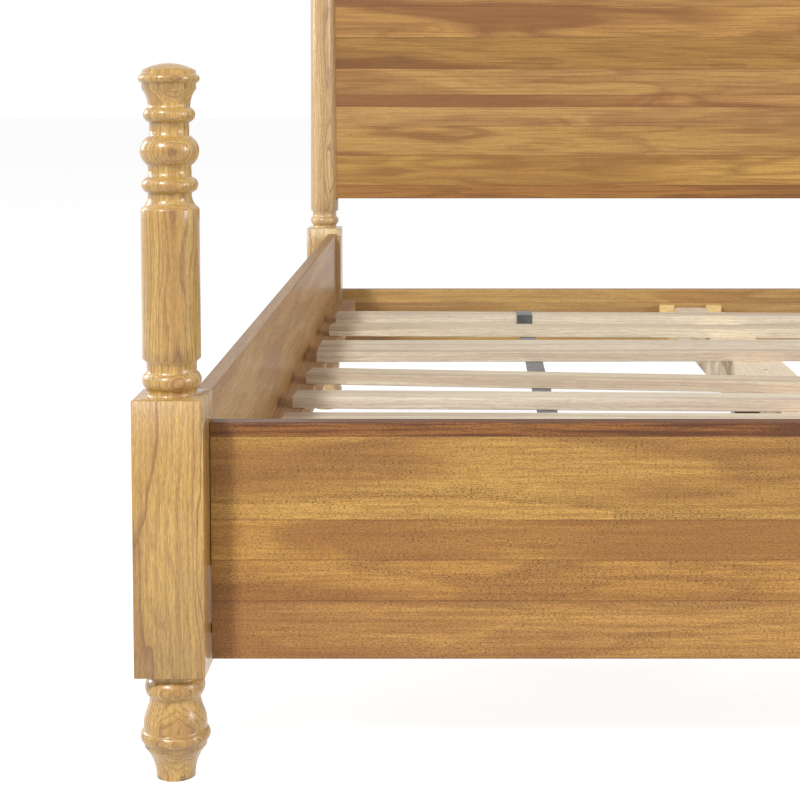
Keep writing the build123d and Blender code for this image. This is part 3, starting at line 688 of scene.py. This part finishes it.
def woven_strap(name, node, tack_places):
    """Webbing swept along its route, with a map of its width and length for the weave."""
    low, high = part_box(node)
    middle = (low.x + high.x) / 2
    section = strap_section((high.x - low.x) / 2, STRAP_THICKNESS)
    route = strap_route(node, tack_places)
    mesh = bmesh.new()
    uv = mesh.loops.layers.uv.new("weave")
    rings, runs = [], []
    run = 0.0
    for index, point in enumerate(route):
        before = route[max(index - 1, 0)]
        after = route[min(index + 1, len(route) - 1)]
        along = (after - before).normalized()
        up = Vector((-along.y, along.x))
        run += (point - before).length
        runs.append(run)
        rings.append([
            mesh.verts.new((middle + x, point.x + up.x * z, point.y + up.y * z)) for x, z in section
        ])
    count = len(section)
    for step in range(len(rings) - 1):
        for corner in range(count):
            following = (corner + 1) % count
            corners = (
                (rings[step][corner], corner, step), (rings[step + 1][corner], corner, step + 1),
                (rings[step + 1][following], following, step + 1), (rings[step][following], following, step),
            )
            face = mesh.faces.new([vertex for vertex, _, _ in corners])
            for loop, (_, at, place) in zip(face.loops, corners):
                loop[uv].uv = (section[at][0], runs[place])
    for ring, place in ((rings[0], 0), (rings[-1], -1)):
        face = mesh.faces.new(ring)
        for loop, (x, z) in zip(face.loops, section):
            loop[uv].uv = (x, runs[place] + z)
    bmesh.ops.recalc_face_normals(mesh, faces=mesh.faces)
    data = bpy.data.meshes.new(name)
    mesh.to_mesh(data)
    mesh.free()
    data.materials.append(webbing)
    data.shade_smooth()
    data.set_sharp_from_angle(angle=STRAP_CREASE)
    strap = bpy.data.objects.new(name, data)
    bpy.context.scene.collection.objects.link(strap)
    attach(strap, "root")
    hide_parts(node)


tack_solids = solids_of("strap_tacks")


def middle_of(solid):
    return sum(solid, Vector()) / len(solid)


for side, sign in (("left", -1), ("right", 1)):
    places = sorted(middle_of(solid).y for solid in tack_solids if middle_of(solid).x * sign > 0)
    woven_strap(f"woven_strap_{side}", f"slat_strap_{side}", places)

# Tacks. Round-headed, of plated steel. Each is driven through the strap into a slat, up from below
# or, where the strap lies on the last slat, down from above.
TACK_TONE = (150, 150, 152)
TACK_RADIUS = 0.0040
TACK_HEIGHT = 0.0010
PIN_RADIUS = 0.0011
PIN_LENGTH = 0.0120
tack_steel = plated("tack_steel", TACK_TONE, 0.34, 0.4)


def tack_shape(inputs):
    """A tack with its domed head above the origin and its pin below."""
    start = inputs["Geometry"]
    ball = start.add("GeometryNodeMeshUVSphere", {
        "Segments": 20, "Rings": 12, "Radius": inputs["Head Radius"],
    })
    squeeze = start.point(1.0, 1.0, inputs["Head Height"] / inputs["Head Radius"])
    cap = start.add("GeometryNodeTransform", {"Geometry": ball, "Scale": squeeze})
    spot = start.add("GeometryNodeInputPosition")
    height = start.add("ShaderNodeSeparateXYZ", {0: spot}, out=2)
    under = start.add("FunctionNodeCompare", {0: height, 1: -1e-5}, {"operation": "LESS_THAN"})
    flat = start.add("ShaderNodeVectorMath", {0: spot, 1: (1, 1, 0)}, {"operation": "MULTIPLY"})
    cap = start.add("GeometryNodeSetPosition", {"Geometry": cap, "Selection": under, "Position": flat})
    pin = start.add("GeometryNodeMeshCylinder", {
        "Vertices": 12, "Radius": inputs["Pin Radius"], "Depth": inputs["Pin Length"],
    })
    pin = moved(start, pin, start.point(0.0, 0.0, inputs["Pin Length"] * -0.5))
    join = start.tree.nodes.new("GeometryNodeJoinGeometry")
    for piece in (cap, pin):
        start.tree.links.new(piece.socket, join.inputs[0])
    return tack_steel, Thread(start.tree, join.outputs[0])


def tack_of(solid):
    """Where a tack's head sits and the way that it looks."""
    top = max(corner.z for corner in solid)
    bottom = min(corner.z for corner in solid)
    widest = max(solid, key=lambda corner: (corner.xy - middle_of(solid).xy).length)
    looks_up = widest.z > (top + bottom) / 2
    height = top - TACK_HEIGHT if looks_up else bottom + TACK_HEIGHT
    centre = middle_of(solid)
    return Vector((centre.x, centre.y, height)), Vector((0, 0, 1 if looks_up else -1))


tack_sizes = {
    "Head Radius": TACK_RADIUS,
    "Head Height": TACK_HEIGHT,
    "Pin Radius": PIN_RADIUS,
    "Pin Length": PIN_LENGTH,
}
tack_tree = set_on_points("tacks", tack_shape, tack_sizes)
tacks = points_object("domed_strap_tacks", [tack_of(solid) for solid in tack_solids])
grow(tacks, tack_tree, tack_sizes)
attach(tacks, "root")
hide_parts("strap_tacks")

# Studio. A plain pale floor and backdrop, a soft key lamp from the front left and two weak side
# lamps, seen from low in front of the foot post.
FLOOR_REACH = 30.0
SHADOW_KEPT = 0.35
FLOOR_GLOW = 1.36
AMBIENT = 0.23
FLOOR_TONE = (226, 226, 226)
WHITE = (255, 255, 255)
LAMP_AIM = (0.0, -0.3, 0.35)
LAMPS = (
    # name, place, size, watts
    ("key", (-3.3, -5.6, 5.0), (1.1, 1.1), 415.0),
    ("side", (3.6, -2.2, 1.8), (0.5, 1.6), 88.0),
    ("rim", (-4.2, 1.2, 1.8), (0.5, 1.8), 70.0),
)
CAMERA_PLACE = (-0.5069, -2.8793, 0.7258)
CAMERA_DIP = 3.86
CAMERA_LENS = 80.74
CAMERA_SHIFT = (-0.0748, -0.25)
CAMERA_SENSOR = 36.0


def seen_rays(tree):
    """1 for rays from the camera, also by way of gloss or glass, and 0 for light that bounces."""
    path = tree.nodes.new("ShaderNodeLightPath")
    seen = Thread(tree, path.outputs["Is Camera Ray"])
    for ray in ("Is Glossy Ray", "Is Transmission Ray"):
        seen = seen.sum_of("MAXIMUM", seen, Thread(tree, path.outputs[ray]))
    return seen


white, shader, _ = new_finish("pale_floor")
tree = white.node_tree
tree.nodes.remove(shader)
seen = seen_rays(tree)
lit = seen.add("ShaderNodeBsdfDiffuse", {"Color": seen.tint(screen(*FLOOR_TONE), screen(*WHITE))})
glow = seen.add("ShaderNodeEmission", {"Color": screen(*WHITE), "Strength": FLOOR_GLOW})
floor_shader = seen.add("ShaderNodeMixShader", {0: seen * (1.0 - SHADOW_KEPT), 1: lit, 2: glow})
tree.links.new(floor_shader.socket, tree.nodes["Material Output"].inputs["Surface"])

floor_mesh = bmesh.new()
bmesh.ops.create_grid(floor_mesh, x_segments=2, y_segments=2, size=FLOOR_REACH)
floor_data = bpy.data.meshes.new("floor")
floor_mesh.to_mesh(floor_data)
floor_mesh.free()
floor_data.materials.append(white)
floor = bpy.data.objects.new("floor", floor_data)
bpy.context.scene.collection.objects.link(floor)

world = bpy.data.worlds.new("studio")
bpy.context.scene.world = world
world.use_nodes = True
tree = world.node_tree
seen = seen_rays(tree)
background = tree.nodes["Background"]
background.inputs["Color"].default_value = (1.0, 1.0, 1.0, 1.0)
tree.links.new((AMBIENT + seen * (1.0 - AMBIENT)).socket, background.inputs["Strength"])

aim = Vector(LAMP_AIM)
for name, spot, size, watts in LAMPS:
    lamp_data = bpy.data.lights.new(name, "AREA")
    lamp_data.shape = "RECTANGLE"
    lamp_data.size, lamp_data.size_y = size
    lamp_data.energy = watts
    lamp = bpy.data.objects.new(name, lamp_data)
    bpy.context.scene.collection.objects.link(lamp)
    lamp.location = spot
    lamp.rotation_euler = (aim - Vector(spot)).to_track_quat("-Z", "Y").to_euler()

camera_data = bpy.data.cameras.new("camera")
camera_data.sensor_width = CAMERA_SENSOR
camera_data.lens = CAMERA_LENS
camera_data.shift_x, camera_data.shift_y = CAMERA_SHIFT
camera = bpy.data.objects.new("camera", camera_data)
bpy.context.scene.collection.objects.link(camera)
camera.location = CAMERA_PLACE
camera.rotation_euler = (math.radians(90 - CAMERA_DIP), 0, 0)
bpy.context.scene.camera = camera
bpy.context.scene.view_settings.view_transform = "Standard"
